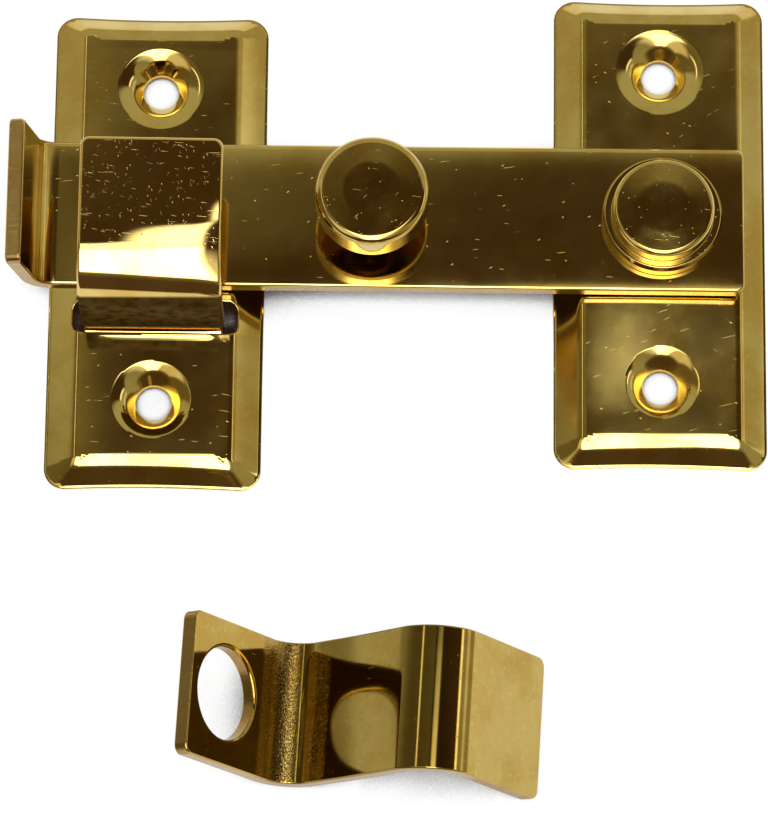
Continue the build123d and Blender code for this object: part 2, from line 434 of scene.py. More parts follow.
def bent_place(on_line, thickness, origin, x_dir, y_dir, z_dir):
    """Carries a flat strip round its bends."""
    x_dir, y_dir, z_dir = (np.array(d, float) for d in (x_dir, y_dir, z_dir))

    def place(u, v, h):
        line, heading = on_line(u)
        lift = h - thickness / 2
        side = line[:, 0] - np.sin(heading) * lift
        rise = line[:, 1] + np.cos(heading) * lift
        return np.array(origin) + side[:, None] * x_dir + rise[:, None] * y_dir + v[:, None] * z_dir

    return place


def crease(distance, slope, rounding):
    """Height lost near a bend line, for a fall at the given slope that starts there, rounded by an arc."""
    flat = rounding * np.tan(slope / 2)
    edge = -flat * np.cos(slope)
    arc = rounding - np.sqrt(np.maximum(rounding ** 2 - np.clip(flat - distance, 0, None) ** 2, 1e-9))
    ramp = -distance * np.tan(slope)
    return np.where(distance >= flat, 0.0, np.where(distance <= edge, ramp, arc))


def press_shape(half_width, half_length, side_run, screws, bow):
    """Front height of a pressed plate over its blank, around its centre."""
    side_slope = atan2(plate_height, side_run)
    end_slope = atan2(plate_height, end_bevel_run)
    halvings = 34
    least_corner = 0.25

    def heights(x, y):
        """Height of each point, found from the level outlines between the rim and the face."""
        low = np.full(len(x), -0.5)
        high = np.full(len(x), 3.0)
        for _ in range(halvings):
            t = (low + high) / 2
            corner = np.maximum(plate_corner - (plate_corner - face_corner) * t, least_corner)
            qx = np.abs(x) - (half_width - side_run * t - corner)
            qy = np.abs(y) - (half_length - end_bevel_run * t - corner)
            out = np.hypot(np.maximum(qx, 0), np.maximum(qy, 0)) + np.minimum(np.maximum(qx, qy), 0) - corner
            inside = out < 0
            low = np.where(inside, t, low)
            high = np.where(inside, high, t)
        t = (low + high) / 2
        ax = np.maximum(qx, 0) ** 2
        ay = np.maximum(qy, 0) ** 2
        endness = np.where(ax + ay > 1e-9, ay / np.maximum(ax + ay, 1e-9), (qy > qx) * 1.0)
        run = side_run + (end_bevel_run - side_run) * endness
        slope = side_slope + (end_slope - side_slope) * endness
        rounding = side_crease + (end_crease - side_crease) * endness
        top = plate_height - crease((t - 1) * run, slope, rounding) - bow(x, y) * np.clip(t, 0, 1)
        for sx, sy in screws:
            reach = np.hypot(x - sx, y - sy) - countersink_radius
            top = np.minimum(top, plate_height - crease(reach, pi / 4, dimple_round))
        return np.maximum(top, rim_edge)

    return heights


def plate_place(centre, half_width, half_length, side_run, screws, bow):
    """Carries a plate's flat blank into its pressed shape, standing on its rim."""
    heights = press_shape(half_width, half_length, side_run, screws, bow)
    bow_end = half_length - end_bevel_run
    tiny = 0.02

    def place(u, v, h):
        top = heights(u, v)
        lean_u = (heights(u + tiny, v) - heights(u - tiny, v)) / (2 * tiny)
        lean_v = (heights(u, v + tiny) - heights(u, v - tiny)) / (2 * tiny)
        under = np.maximum(top - sheet * np.sqrt(1 + lean_u ** 2 + lean_v ** 2), 0)
        drawn_in = end_bow * (1 - (u / half_width) ** 2) * ease(np.abs(v), bow_end - bow_fade, bow_end)
        y = v - np.sign(v) * drawn_in
        z = under + (top - under) * h / sheet
        return np.stack([u + centre[0], y + centre[1], z], axis=1)

    return place


def press_plate(centre, width, length, side_run, screws, bow, slot_hole=None):
    """Mesh of one pressed plate: rim, screw dimples and, in the keeper plate, the strap's slot."""
    place = plate_place(centre, width / 2, length / 2, side_run, screws, bow)
    loops = [rounded_rectangle((0, 0), (width, length), plate_corner, arc_points=17)]
    loops += [circle(screw, screw_hole_radius) for screw in screws]
    fronts = [plate_rim_break] + [screw_hole_break] * len(screws)
    if slot_hole:
        slot_size = (slot_width, slot_height)
        loops.append(turned_in(rounded_rectangle(slot_hole, slot_size, slot_corner, edge_step)))
        fronts.append(slot_break)
    far = (width / 2 - 0.1, length / 2 - 0.1)
    grid = lattice((-far[0], -far[1]), far, plate_step, loops, plate_clear)
    plain = np.ones(len(grid), bool)
    dimples = []
    for sx, sy in screws:
        plain &= np.hypot(grid[:, 0] - sx, grid[:, 1] - sy) > plain_grid_start
        for radius in np.linspace(screw_hole_radius + plate_clear, dimple_rings_end, dimple_rings):
            dimples.append(keep_clear(circle((sx, sy), radius)[0], loops, dimple_clear))
    inner = np.vstack([grid[plain]] + dimples)
    return blank_mesh(loops, inner, place, sheet, fronts, [plate_back_break] * len(loops), 4)


# Materials


class Nodes:
    """Adds nodes to one tree and joins them up."""

    def __init__(self, tree):
        self.tree = tree

    def join(self, source, socket):
        self.tree.links.new(source, socket)

    def feed(self, value, socket):
        """Gives a socket a number, a colour or another node's output."""
        if isinstance(value, (int, float)):
            socket.default_value = value
        elif isinstance(value, tuple):
            socket.default_value = (*value, 1)
        else:
            self.join(value, socket)

    def node(self, kind, links=(), **settings):
        """A new node. A setting is one of its options or else the constant of an input."""
        made = self.tree.nodes.new(kind)
        for key, value in settings.items():
            if hasattr(made, key):
                setattr(made, key, value)
            else:
                made.inputs[key.replace("_", " ").title()].default_value = value
        for socket, source in links:
            self.join(source, made.inputs[socket])
        return made

    def math(self, operation, *values, clamp=False):
        made = self.node("ShaderNodeMath", operation=operation, use_clamp=clamp)
        for value, socket in zip(values, made.inputs):
            self.feed(value, socket)
        return made.outputs[0]

    def times(self, one, two):
        return self.math("MULTIPLY", one, two)

    def added(self, *layers):
        total = layers[0]
        for layer in layers[1:]:
            total = self.math("ADD", total, layer)
        return total

    def smooth(self, value, low, high, to_low=0.0, to_high=1.0):
        """Smooth step of a value between two limits."""
        return self.node(
            "ShaderNodeMapRange", [("Value", value)], interpolation_type="SMOOTHSTEP",
            from_min=low, from_max=high, to_min=to_low, to_max=to_high,
        ).outputs["Result"]

    def mix(self, share, one, two):
        """Colour that goes from one to two as the share goes from 0 to 1."""
        made = self.node("ShaderNodeMix", [("Factor", share)], data_type="RGBA")
        self.feed(one, made.inputs[6])
        self.feed(two, made.inputs[7])
        return made.outputs[2]


class Finish(Nodes):
    """Builds one procedural metal from noise on the flat blank."""

    def __init__(self, name):
        self.material = bpy.data.materials.new(name)
        self.material.use_nodes = True
        super().__init__(self.material.node_tree)
        self.shader = self.tree.nodes["Principled BSDF"]
        self.blank = self.attribute("blank", "Vector")
        self.cut = self.attribute("cut", "Fac")

    def attribute(self, name, output):
        return self.node("ShaderNodeAttribute", attribute_name=name).outputs[output]

    def placed(self, size, turn=0.0, shift=(0.0, 0.0, 0.0)):
        """Blank coordinates turned by an angle and divided by a size in each direction."""
        turned = self.node(
            "ShaderNodeVectorRotate", [("Vector", self.blank)], rotation_type="Z_AXIS", angle=radians(turn)
        )
        scaled = self.node("ShaderNodeVectorMath", [(0, turned.outputs[0])], operation="DIVIDE")
        scaled.inputs[1].default_value = size
        moved = self.node("ShaderNodeVectorMath", [(0, scaled.outputs[0])], operation="ADD")
        moved.inputs[1].default_value = shift
        return moved.outputs[0]

    def noise(self, size, detail=3.0, rough=0.55, turn=0.0, shift=(0.0, 0.0, 0.0), bend=0.0):
        """Cloudy noise with features of about the given size."""
        size = size if isinstance(size, tuple) else (size, size, size)
        return self.node(
            "ShaderNodeTexNoise", [("Vector", self.placed(size, turn, shift))],
            scale=1.0, detail=detail, roughness=rough, distortion=bend,
        ).outputs["Fac"]

    def marks(self, length, width, share, turn, shift=0.0, reach=0.42):
        """Scattered strokes of one direction: cells of that length and width, of which a share are marked."""
        vector = self.placed((length, width, length), turn, (shift, shift * 0.7, 0.0))
        cells = self.node("ShaderNodeTexVoronoi", [("Vector", vector)], scale=1.0)
        chance = self.node("ShaderNodeSeparateXYZ", [(0, cells.outputs["Color"])]).outputs[0]
        chosen = self.math("GREATER_THAN", chance, 1 - share)
        return self.times(self.smooth(cells.outputs["Distance"], reach, reach * 0.4), chosen)

    def finish(self, colour, rough, height, matte_painted_shade=None):
        """Connects colour, roughness and relief to the shader. Where matte painted shade lies the surface
        isn't metal.
        """
        if matte_painted_shade is None:
            self.shader.inputs["Metallic"].default_value = 1.0
        else:
            self.shader.inputs["Specular IOR Level"].default_value = 0.0
            bare = self.math("SUBTRACT", 1.0, self.math("MULTIPLY", matte_painted_shade, 1.02, clamp=True))
            self.join(bare, self.shader.inputs["Metallic"])
            rough = self.math("ADD", rough, self.times(matte_painted_shade, 0.3))
        self.join(colour, self.shader.inputs["Base Color"])
        self.join(rough, self.shader.inputs["Roughness"])
        bump = self.node("ShaderNodeBump", [("Height", height)], strength=1.0, distance=MICROMETRE)
        self.join(bump.outputs[0], self.shader.inputs["Normal"])
        return self.material


brass_clean = (0.66, 0.50, 0.155)
brass_warm = (0.58, 0.39, 0.09)
brass_pale = (0.74, 0.61, 0.25)
brass_cut = (0.34, 0.20, 0.085)
strap_clean = (0.76, 0.55, 0.19)
strap_warm = (0.68, 0.44, 0.11)
# The loose strap's tones are a darker copy of the strap brass: painted shade for the dimmer surroundings it
# reflects.
spare_shaded_clean = (0.54, 0.385, 0.10)
spare_shaded_warm = (0.47, 0.30, 0.055)
plate_tones = (brass_clean, brass_warm)
strap_tones = (strap_clean, strap_warm)
spare_shaded_tones = (spare_shaded_clean, spare_shaded_warm)
# Painted shade: dark tones laid on the straps' legs, near black on the keeper strap in the slot, olive-brown
# on the loose strap, standing in for dark reflections.
leg_painted_shade = (0.024, 0.0085, 0.0006)
spare_painted_shade = (0.15, 0.10, 0.014)
scratch_depth = 2.6
pit_depth = 7.0
shear_depth = 16.0
crackle_depth = 60.0


def brass_colour(metal, tones, cloud_size, spot_size, spot_share):
    """Two tones in soft clouds, with paler spots on them."""
    clouds = metal.smooth(metal.noise(cloud_size, 3.0, 0.6), 0.40, 0.66)
    spots = metal.noise(spot_size, 4.0, 0.6, shift=(3.1, 1.7, 0.4))
    return metal.mix(metal.smooth(spots, 0.52, 0.78, 0.0, spot_share), metal.mix(clouds, *tones), brass_pale)


def brass_roughness(metal, cloud_size, low, high):
    return metal.smooth(metal.noise(cloud_size, 4.0, 0.6, shift=(4.4, 0.3, 9.0)), 0.3, 0.75, low, high)


def polished_relief(metal, wave, fine):
    """Waves left by polishing by hand, with ripples and two directions of fine grain on them."""
    return metal.added(
        metal.times(metal.noise(11.0, 1.0, 0.4, shift=(7.7, 2.2, 5.0)), wave),
        metal.times(metal.noise(2.2, 2.0, 0.5, shift=(1.2, 9.1, 2.0)), wave * 0.10),
        metal.times(metal.noise((3.0, 0.10, 1.0), 2.0, 0.6, turn=14, shift=(2.0, 5.0, 1.0)), fine),
        metal.times(metal.noise((0.12, 2.4, 1.0), 2.0, 0.6, turn=-9), fine * 0.7),
    )


def brass_scratches(metal, share, lie):
    """Scratches that lie mostly one way, with some across."""
    return metal.added(
        metal.marks(1.9, 0.10, share, lie), metal.marks(1.2, 0.09, share, lie - 9, 3.7),
        metal.marks(0.9, 0.09, share * 0.5, lie + 62, 8.1), metal.marks(2.8, 0.10, share * 0.5, lie + 5, 5.3),
    )


def brass_pits(metal, share):
    return metal.added(
        metal.marks(0.42, 0.30, share, 0, 2.4, 0.36), metal.marks(0.75, 0.20, share, 25, 6.1, 0.34),
    )


def between(metal, along, low, high, soft):
    """1 on one stretch of the blank, falling to 0 over the soft length at each end."""
    return metal.times(metal.smooth(along, low, low + soft), metal.smooth(along, high, high - soft))


def make_brass(
    name, tones, rough, wave, scratch, pits, fine=0.25, lie=4, region=None, peel=None, dull=None, painted_shade=None,
    painted_shade_is_metal=True,
):
    """Polished brass: cloudy colour, polishing waves, scratches, pits and sheared edges. Places along the
    blank: region is where the marks grow full, peel is crackled, dull is where the polish fades out, and
    painted_shade is a tone, a stretch, its soft length and its strength: painted shade that darkens the
    surface there, as metal or, when painted_shade_is_metal is false, as matte."""
    metal = Finish(name)
    colour = brass_colour(metal, tones, 9.0, 0.7, 0.4)
    along = metal.node("ShaderNodeSeparateXYZ", [(0, metal.blank)]).outputs[0]
    scratches = brass_scratches(metal, scratch, lie)
    holes = brass_pits(metal, pits)
    if region:
        here = metal.smooth(along, *region, 0.12, 1.0)
        scratches = metal.times(scratches, here)
        holes = metal.times(holes, here)
    height = metal.math("SUBTRACT", polished_relief(metal, wave, fine), metal.times(scratches, scratch_depth))
    height = metal.math("SUBTRACT", height, metal.times(holes, pit_depth))
    roughness = brass_roughness(metal, 6.0, rough * 0.85, rough * 1.25)
    roughness = metal.added(roughness, metal.times(scratches, 0.10))
    if peel:
        low, high, soft = peel
        inside = between(metal, along, low - soft, high + soft, soft)
        crackle = metal.times(metal.noise((0.26, 0.36, 0.3), 2.0, 0.7, bend=0.6), crackle_depth)
        height = metal.added(height, metal.times(crackle, inside))
        colour = metal.mix(metal.times(inside, 0.35), colour, brass_cut)
    if dull:
        soft = metal.times(metal.smooth(along, *dull), metal.noise((2.5, 9.0, 2.5), 3.0, 0.6))
        roughness = metal.added(roughness, metal.times(soft, 0.35))
    matte_painted_shade = None
    # Painted shade: the tone darkens the surface along the stretch, in patches, standing in for shade and
    # dark reflections.
    if painted_shade:
        tone, low, high, soft, most = painted_shade
        patches = metal.noise(1.6, 3.0, 0.6, shift=(6.0, 2.0, 1.0))
        cover = metal.smooth(patches, 0.62, 0.30, most - 0.05, most)
        painted_shade_share = metal.times(between(metal, along, low, high, soft), cover)
        colour = metal.mix(painted_shade_share, colour, tone)
        matte_painted_shade = None if painted_shade_is_metal else painted_shade_share
    edge = metal.smooth(metal.cut, 0.90, 0.995)
    shear = metal.noise((0.16, 0.16, 1.6), 3.0, 0.7, shift=(9.0, 4.0, 3.0))
    height = metal.added(height, metal.times(metal.times(shear, edge), shear_depth))
    colour = metal.mix(metal.times(edge, metal.smooth(shear, 0.25, 0.6, 0.35, 0.8)), colour, brass_cut)
    roughness = metal.added(roughness, metal.times(edge, 0.16))
    return metal.finish(colour, roughness, height, matte_painted_shade)


def make_turned_brass(name, rough):
    """Turned brass: rings left by the tool on faces and sides, light scratches and pits."""
    metal = Finish(name)
    colour = brass_colour(metal, plate_tones, 5.0, 0.6, 0.5)
    parts = metal.node("ShaderNodeSeparateXYZ", [(0, metal.blank)]).outputs
    flat = metal.node("ShaderNodeCombineXYZ", [(0, parts[0]), (1, parts[1])])
    radius = metal.node("ShaderNodeVectorMath", [(0, flat.outputs[0])], operation="LENGTH").outputs["Value"]
    spiral = metal.added(metal.times(radius, 9.0), metal.times(parts[2], 7.0))
    ring_place = metal.node("ShaderNodeCombineXYZ", [(0, spiral)]).outputs[0]
    ring_noise = metal.node("ShaderNodeTexNoise", [("Vector", ring_place)], scale=1.0, detail=3.0)
    rings = metal.times(ring_noise.outputs["Fac"], 0.7)
    scratches = metal.added(metal.marks(2.0, 0.08, 0.009, 8), metal.marks(1.4, 0.08, 0.006, -52, 3.0))
    holes = metal.added(
        metal.marks(0.30, 0.26, 0.012, 0, 2.4, 0.36), metal.marks(0.4, 0.2, 0.010, 25, 6.1, 0.34),
    )
    swell = metal.times(metal.noise(6.0, 1.0, 0.4, shift=(7.7, 2.2, 5.0)), 4.0)
    height = metal.math("SUBTRACT", metal.added(swell, rings), metal.times(scratches, 2.2))
    height = metal.math("SUBTRACT", height, metal.times(holes, 6.0))
    return metal.finish(colour, brass_roughness(metal, 4.0, rough * 0.65, rough * 1.6), height)


keeper_brass = make_brass("keeper_brass", plate_tones, 0.085, wave=6.0, scratch=0.006, pits=0.008)
pivot_brass = make_brass("pivot_brass", plate_tones, 0.11, wave=6.0, scratch=0.008, pits=0.008, lie=-20)
# The keeper strap's leg, from its foot bend to below the ridge, is painted a near-black matte shade where it
# runs down into the slot.
strap_brass = make_brass(
    "strap_brass", strap_tones, 0.05, wave=4.0, scratch=0.028, pits=0.05, fine=0.10, lie=86,
    region=(33.0, 39.0), painted_shade=(leg_painted_shade, 18.7, 31.3, 0.5, 0.97), painted_shade_is_metal=False,
)
# The loose strap has the darker painted-shade tones, and a painted shade in patches from its foot bend up its
# leg into the ridge.
spare_brass = make_brass(
    "spare_brass", spare_shaded_tones, 0.07, wave=4.0, scratch=0.004, pits=0.006,
    peel=(15.8, 21.5, 1.5), dull=(50.0, 54.0), painted_shade=(spare_painted_shade, 21.0, 48.0, 2.0, 0.62),
)
arm_brass = make_brass("arm_brass", plate_tones, 0.075, wave=6.0, scratch=0.003, pits=0.006)
turned_brass = make_turned_brass("turned_brass", 0.06)
spring_brass = make_brass("spring_brass", plate_tones, 0.22, wave=2.0, scratch=0.010, pits=0.0)


# The pieces


def make_keeper_plate():
    half_spacing = screw_spacing / 2
    slot_middle = slot_bottom + slot_height / 2 + keeper_drop + keeper_screw_rise
    face_half = keeper_plate_width / 2 - keeper_bevel_run

    def bow(x, y):
        """How far the face lies below level: crowned across and towards the top, raised round the slot,
        and rolled a little towards the pivot at the bottom."""
        crown = 0.10 * (x / face_half) ** 4 + 0.06 * np.clip(y / 28, 0, 1) ** 2
        qx = np.abs(x) - slot_width / 2 + slot_corner
        qy = np.abs(y - slot_middle) - slot_height / 2 + slot_corner
        from_slot = np.hypot(np.maximum(qx, 0), np.maximum(qy, 0)) - slot_corner
        lip = 0.11 * ease(from_slot, 1.15, 0.1) * ease(np.abs(x), 9.3, 6.0)
        roll = 0.012 * (x + face_half) * ease(y, -8, -14)
        return crown - lip + roll + 0.01 * (1 + np.sin(y / 4.1) * np.cos(x / 5))

    screws = [(0, half_spacing + keeper_screw_rise), (0, keeper_screw_rise - half_spacing)]
    made = press_plate(
        (-plate_pitch, -keeper_drop - keeper_screw_rise), keeper_plate_width, keeper_plate_length,
        keeper_bevel_run, screws, bow, (0, slot_middle),
    )
    add_piece("keeper_plate_pressing", made, keeper_brass, "plates", "keeper_plate")


def make_pivot_plate():
    half_spacing = screw_spacing / 2
    face_half = pivot_plate_width / 2 - pivot_bevel_run

    def bow(x, y):
        """Crowned across, and falling towards the lower end, more so on the left."""
        crown = 0.12 * (x / face_half) ** 4
        fall = 0.42 * ease(y, -6.0, -27.0) * (0.30 + 0.70 * ease(x, 9.0, -5.0))
        return crown + fall + 0.010 * (1 + np.sin(y / 3.7 + 1) * np.sin(x / 4.6))

    screws = [(0, half_spacing), (0, -half_spacing)]
    made = press_plate((0, 0), pivot_plate_width, pivot_plate_length, pivot_bevel_run, screws, bow)
    add_piece("pivot_plate_pressing", made, pivot_brass, "plates", "pivot_plate")


def strap_line(flange, leg, lip, foot, ridge, lean):
    """Line of a strap: flange, foot bend, leaning leg, ridge bend and lip. Returns what bent_line does."""
    half = strap_thickness / 2
    slope = tan(radians(lean))
    leg_line = half / cos(radians(lean))
    corners = [
        (-flange, -half), (leg_line - half * slope, -half),
        (leg_line + (leg - half) * slope, leg - half), (leg * slope + lip, leg - half),
    ]
    return bent_line(corners, [foot + half, ridge + half])


def make_strap(name, node, body, metal, line, hole_at, fronts, place):
    """Mesh of a strap from its line, the place of its hole and the way its blank is carried into shape."""
    total = line[0]
    loops = [
        rounded_rectangle((total / 2, 0), (total, strap_width), strap_corner, edge_step),
        circle((hole_at, 0), strap_hole_radius, 128),
    ]
    far = strap_width / 2 - edge_step
    grid = lattice((edge_step, -far), (total - edge_step, far), strap_step, loops, strap_clear)
    made = blank_mesh(loops, grid, place, strap_thickness, fronts, [edge_break, strap_hole_break])
    add_piece(name, made, metal, body, node)


def make_keeper_strap():
    foot, ridge, lean, lip = 0.9, 4.8, -2.5, 21.9
    flange_top, strap_top = 2.15, 19.0
    lip_roll, lip_drop, lip_sag, side_wear = 0.035, 0.35, 0.6, 0.024
    leg_front = slot_bottom + foot + 0.05
    hole_setback = leg_front + keeper_drop + screw_spacing / 2
    flange = hole_setback + strap_hole_radius + 1.3
    line = strap_line(flange, strap_top - flange_top, lip, foot, ridge, lean)
    ridge_start, ridge_end = line[1][-3:-1]
    at_slot = (-plate_pitch - 0.25, leg_front, flange_top)
    bent = bent_place(line[2], strap_thickness, at_slot, (0, 1, 0), (0, 0, 1), (1, 0, 0))

    def place(u, v, h):
        """The lip rolls a little towards the pivot, less so at its end, and sags and is worn by the ridge."""
        on_lip = ease(u, ridge_start, ridge_end)
        roll = (v * (0.0012 * np.maximum(u - ridge_end, 0) - lip_roll) - lip_drop) * on_lip
        sag = lip_sag * ease(u, ridge_end + 3.2, ridge_end - 3.0) * ease(v, -11.0, 10.0) * on_lip
        worn = side_wear * np.maximum(v - 5.4, 0) ** 2 * on_lip * ease(u, ridge_end + 7.0, ridge_end)
        return bent(u, v, h + roll - sag - worn)

    make_strap(
        "keeper_strap_bent", "keeper_strap", "plates", strap_brass, line, flange - hole_setback,
        [0.5, 0.3], place,
    )


def make_spare_strap():
    """The loose strap, resting on the edge of its flange and on its lip."""
    foot, ridge, lean = 3.5, 4.5, -10.5
    flange, leg, lip = 21.3, 27.8, 23.2
    hole_setback = 13.5
    lie = radians(-2.9)
    ridge_skew, leg_hollow, leg_cup = 0.035, 0.10, 0.0009
    bend_back = foot + strap_thickness
    bend_along = foot * (tan(radians(lean)) - 1 / cos(radians(lean)))
    rest_along = leg * tan(radians(lean)) + lip - bend_along
    rest_up = leg - strap_thickness - foot
    rest_turn = -asin(bend_back / hypot(rest_along, rest_up)) - atan2(rest_up, rest_along)
    lift = bend_back - bend_along * sin(rest_turn) - foot * cos(rest_turn)
    x_dir = np.array((cos(rest_turn) * cos(lie), cos(rest_turn) * sin(lie), sin(rest_turn)))
    z_dir = np.array((sin(lie), -cos(lie), 0))
    line = strap_line(flange, leg, lip, foot, ridge, lean)
    leg_start, leg_end, ridge_end = line[1][2:5]
    at_floor = (-48.85, -67.2, lift)
    bent = bent_place(line[2], strap_thickness, at_floor, x_dir, np.cross(z_dir, x_dir), z_dir)

    def place(u, v, h):
        """The ridge runs slightly askew, and the leg is bent a little hollow along and across."""
        skew = ridge_skew * v * ease(u, leg_start, leg_end) * ease(u, ridge_end + 8, ridge_end)
        on_leg = np.sin(np.clip((u - leg_start) / (leg_end - leg_start), 0, 1) * pi)
        return bent(u + skew, v, h - leg_hollow * on_leg ** 2 - leg_cup * v ** 2 * on_leg)

    make_strap(
        "spare_strap_bent", "spare_keeper_strap", "spare_strap", spare_brass, line, flange - hole_setback,
        [0.25, 0.5], place,
    )


def make_arm():
    half = arm_thickness / 2
    root = arm_reach + half / tan(radians(45 + tab_lean / 2))
    rise = tab_height + half
    middle = arm_top - half
    tab_end = (root + rise * tan(radians(tab_lean)), arm_top + tab_height)
    corners = [(-arm_tail, middle), (root, middle), tab_end]
    total, ends, on_line = bent_line(corners, [tab_bend + half])
    bent = bent_place(on_line, arm_thickness, (0, 0, 0), (-1, 0, 0), (0, 0, 1), (0, 1, 0))
    ring, normals = rounded_rectangle((total / 2, 0), (total, arm_width), arm_corner, 0.4)
    front, back, hole = 0.3, 0.3, 0.1
    worn_front = front + 0.5 * np.maximum(normals[:, 1], 0) + 0.06 * np.maximum(-normals[:, 1], 0)
    loops = [
        (ring, normals),
        circle((arm_tail, 0), shank_radius + 0.05, 64),
        circle((arm_tail + knob_reach, 0), knob_pin_radius + 0.02, 48),
    ]
    far = arm_width / 2 - edge_step
    bend_start, bend_end = ends[1] - 0.5, ends[2] + 0.5
    grid = lattice((edge_step, -far), (total - edge_step, far), arm_step, loops, arm_clear)
    unbent = (grid[:, 0] < bend_start - 0.2) | (grid[:, 0] > bend_end + 0.2)
    bend_grid = lattice((bend_start, -far), (bend_end, far), bend_step, loops, bend_clear)
    grid = np.vstack([grid[unbent], bend_grid])

    def place(u, v, h):
        """Polishing has rolled the long edges off a little and left the bar faintly wavy and twisted."""
        roll_off = 0.08 * (np.abs(v) / (arm_width / 2)) ** 6
        wave = 0.035 * np.sin(u / 9.0 + 0.8) * ease(u, arm_tail + 10, arm_tail + 20)
        twist = -0.0005 * v * np.maximum(u - arm_tail - 12, 0) * ease(u, ends[1], ends[1] - 20)
        return bent(u, v, h - (roll_off * h / arm_thickness) + (wave + twist) * (h / arm_thickness))

    made = blank_mesh(loops, grid, place, arm_thickness, [worn_front, hole, hole], [back, hole, hole])
    add_piece("latch_arm_bar", made, arm_brass, "arm", "latch_arm")


def make_pivot_stud():
    """Riveted end, shank, collar and head, on the stud's own axis."""
    rivet_bottom, rivet_top = 0.5, 2.2
    seat = arm_top + 0.08
    collar_top = seat + 1.6
    waist = seat + 2.3
    edge = seat + 4.94
    top = edge + 0.16
    profile = [
        (0, rivet_bottom, 0), (3.75, rivet_bottom, 0.3), (4.6, rivet_top, 0.1),
        (shank_radius, rivet_top, 0.05), (shank_radius, seat, 0.05),
        (collar_radius, seat, 0.15), (collar_radius, collar_top, 0.3), (collar_radius - 0.3, waist, 0.15),
        (head_radius, waist, 0.1), (head_radius, edge, 0.7), (head_radius / 2, top - 0.04, 30), (0, top, 0),
    ]
    add_piece("pivot_stud_turned", lathe_mesh(profile), turned_brass, "plates", "pivot_stud")


def make_lift_knob():
    """Riveted end, pin, neck and knob, turned on the axis and then moved along the arm."""
    top = arm_top + knob_height
    edge = top - 0.13
    neck_top = top - 5.4
    profile = [
        (0, arm_bottom - 0.35, 0), (1.4, arm_bottom - 0.26, 5), (2.8, arm_bottom, 0.05),
        (knob_pin_radius, arm_bottom + 0.8, 0.05), (knob_pin_radius, arm_top, 0),
        (knob_neck_radius, arm_top, 0.05), (knob_neck_radius, neck_top, 0.2),
        (knob_radius, neck_top, 0.4), (knob_radius, edge, 1.1),
        (knob_radius / 2, top - 0.0325, 30), (0, top, 0),
    ]
    points, *others = lathe_mesh(profile)
    made = (points + np.array([-knob_reach, 0, 0]), *others)
    add_piece("lift_knob_turned", made, turned_brass, "arm", "lift_knob")


def make_pivot_washer(segments=96):
    """Dished spring washer under the arm."""
    raised = washer_bottom + washer_dish
    section = [
        (washer_bore, raised), (washer_rim, washer_bottom),
        (washer_rim, washer_bottom + washer_thickness), (washer_bore, raised + washer_thickness),
    ]
    points, faces, normals = [], [], []
    for k, one in enumerate(section):
        two = section[(k + 1) % len(section)]
        along = unit(np.array(two) - np.array(one))
        start = len(points)
        for s in range(segments):
            angle = 2 * pi * s / segments
            for r, z in (one, two):
                points.append((r * cos(angle), r * sin(angle), z))
                normals.append((along[1] * cos(angle), along[1] * sin(angle), -along[0]))
        for s in range(segments):
            n = (s + 1) % segments
            faces.append((start + 2 * n, start + 2 * n + 1, start + 2 * s + 1, start + 2 * s))
    points = np.array(points)
    made = (points, faces, np.array(normals), points, np.zeros(len(points)))
    add_piece("spring_washer_ring", made, spring_brass, "plates", "pivot_washer")


make_keeper_plate()
make_pivot_plate()
make_keeper_strap()
make_spare_strap()
make_arm()
make_pivot_stud()
make_lift_knob()
make_pivot_washer()


# Floor, light and camera

floor_half = 12.0
floor_level = -0.00002
floor_white = (1.0, 1.0, 1.0)
floor_far = (0.58, 0.565, 0.53)
# Dark brown of the floor's painted shade where something stands close over it.
floor_painted_shade = (0.020, 0.008, 0.004)
floor_near_reach = 0.15
floor_far_reach = 0.75
contact_reach = 0.018
boxed_in_below = 0.34
open_above = 0.54
glow_strength = 1.03
glow_share = 0.94


def paint_floor():
    """White card that turns greyer far away. Seen by eye or in the metal it is lit evenly, apart from painted
    shade, a dark brown where something stands close over it, and a share of its plain diffuse shadow."""
    paint = bpy.data.materials.new("floor_paint")
    paint.use_nodes = True
    card = Nodes(paint.node_tree)
    shader = card.tree.nodes["Principled BSDF"]
    shader.inputs["Roughness"].default_value = 0.9
    shader.inputs["Specular IOR Level"].default_value = 0.0
    position = card.node("ShaderNodeNewGeometry").outputs["Position"]
    away = card.node("ShaderNodeVectorMath", [(0, position)], operation="LENGTH").outputs["Value"]
    tone = card.mix(card.smooth(away, floor_near_reach, floor_far_reach), floor_white, floor_far)
    # Painted shade: where the AO finds something close overhead, the floor's colour turns dark brown, near
    # black under the plates and in the slot.
    open_sky = card.node("ShaderNodeAmbientOcclusion", samples=8, distance=contact_reach).outputs["AO"]
    shaded = card.mix(card.smooth(open_sky, boxed_in_below, open_above), floor_painted_shade, tone)
    card.join(shaded, shader.inputs["Base Color"])
    glow = card.node("ShaderNodeEmission", [("Color", shaded)], strength=glow_strength)
    ray = card.node("ShaderNodeLightPath").outputs
    seen = card.math("MAXIMUM", ray["Is Camera Ray"], ray["Is Glossy Ray"])
    seen = card.math("MAXIMUM", seen, ray["Is Transmission Ray"])
    share = card.times(seen, glow_share)
    both = card.node("ShaderNodeMixShader", [("Fac", share), (1, shader.outputs[0]), (2, glow.outputs[0])])
    card.join(both.outputs[0], card.tree.nodes["Material Output"].inputs["Surface"])
    return paint


def make_floor():
    mesh = bpy.data.meshes.new("floor")
    corners = [(-1, -1), (1, -1), (1, 1), (-1, 1)]
    mesh.from_pydata([(x * floor_half, y * floor_half, floor_level) for x, y in corners], [], [(0, 1, 2, 3)])
    mesh.materials.append(paint_floor())
    floor = bpy.data.objects.new("floor", mesh)
    bpy.context.scene.collection.objects.link(floor)


make_floor()

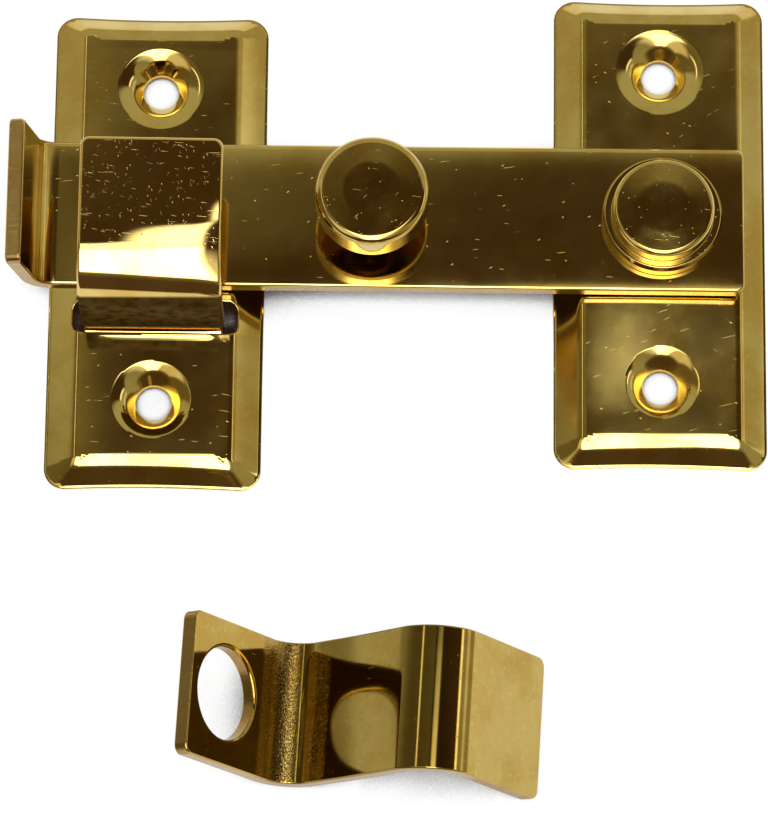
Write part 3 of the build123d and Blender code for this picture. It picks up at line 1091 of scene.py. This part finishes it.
# Tones of the sky and where they change, then its patches as tone, centre, half size and soft edge
sky_west = (0.19, 0.16, 0.085)
sky_east = (0.42, 0.39, 0.27)
sky_north = (0.52, 0.50, 0.38)
sky_south = (0.10, 0.065, 0.035)
west_to_east = (-0.3, 0.6)
into_north = (0.17, 0.27)
into_south = (-0.42, -0.60)
dark_card = ((0.06, 0.036, 0.017), (0.262, 0.05), (0.298, 0.145), (0.022, 0.025))
broad_lamp = ((1.0, 0.97, 0.9), (-0.11, -0.24), (0.31, 0.18), (0.06, 0.06))
lamp_core = ((5.5, 5.5, 5.4), (0.0, -0.22), (0.10, 0.23), (0.03, 0.025))
upper_lamp = ((3.5, 3.5, 3.2), (0.045, 0.06), (0.045, 0.05), (0.02, 0.02))
east_lamp = ((2.0, 1.95, 1.7), (0.55, 0.08), (0.03, 0.12), (0.012, 0.04))
far_east_lamp = ((0.9, 0.88, 0.8), (0.76, 0.18), (0.05, 0.20), (0.03, 0.06))
west_strip = ((2.6, 2.5, 2.2), (-0.30, 0.12), (0.014, 0.12), (0.008, 0.04))


def sky_patch(sky, east, north, centre, size, soft):
    """Share of a soft-edged rectangle of the sky. East and north are tangents of half the angle from the
    zenith."""
    shares = []
    for axis, middle, half, edge in zip((east, north), centre, size, soft):
        away = sky.math("ABSOLUTE", sky.math("SUBTRACT", axis, middle))
        shares.append(sky.smooth(away, half + edge, half - edge))
    return sky.times(*shares)


def make_sky():
    world = bpy.data.worlds.new("studio")
    bpy.context.scene.world = world
    world.use_nodes = True
    sky = Nodes(world.node_tree)
    direction = sky.node("ShaderNodeTexCoord").outputs["Generated"]
    x, y, z = sky.node("ShaderNodeSeparateXYZ", [(0, direction)]).outputs
    rise = sky.math("ADD", sky.math("MAXIMUM", z, -0.5), 1.0)
    east = sky.math("DIVIDE", x, rise)
    north = sky.math("DIVIDE", y, rise)
    colour = sky.mix(sky.smooth(east, *west_to_east), sky_west, sky_east)
    colour = sky.mix(sky.smooth(north, *into_north), colour, sky_north)
    colour = sky.mix(sky.smooth(north, *into_south), colour, sky_south)
    for tone, *place in (dark_card, broad_lamp, lamp_core, upper_lamp, east_lamp, far_east_lamp, west_strip):
        colour = sky.mix(sky_patch(sky, east, north, *place), colour, tone)
    sky.join(colour, sky.tree.nodes["Background"].inputs["Color"])


def aim_camera():
    target = Vector((-36.8, -25.4, 0)) * MM
    tilt = radians(16.5)
    roll = radians(0.65)
    distance = 650.0 * MM
    focal_pixels = 4875
    picture_height = 822
    forward = Vector((0, sin(tilt), -cos(tilt)))
    right = Vector((1, 0, 0))
    up = Vector((0, cos(tilt), sin(tilt)))
    right_rolled = cos(roll) * right + sin(roll) * up
    up_rolled = cos(roll) * up - sin(roll) * right
    camera = bpy.data.cameras.new("camera")
    camera.sensor_fit = "AUTO"
    camera.sensor_width = 36.0
    camera.lens = camera.sensor_width * focal_pixels / picture_height
    camera.clip_start = 0.02
    camera.clip_end = 50
    camera_object = bpy.data.objects.new("camera", camera)
    bpy.context.scene.collection.objects.link(camera_object)
    turn = Matrix((right_rolled, up_rolled, -forward)).transposed().to_4x4()
    camera_object.matrix_world = Matrix.Translation(target - distance * forward) @ turn
    bpy.context.scene.camera = camera_object


make_sky()
aim_camera()
bpy.context.scene.view_settings.view_transform = "Standard"
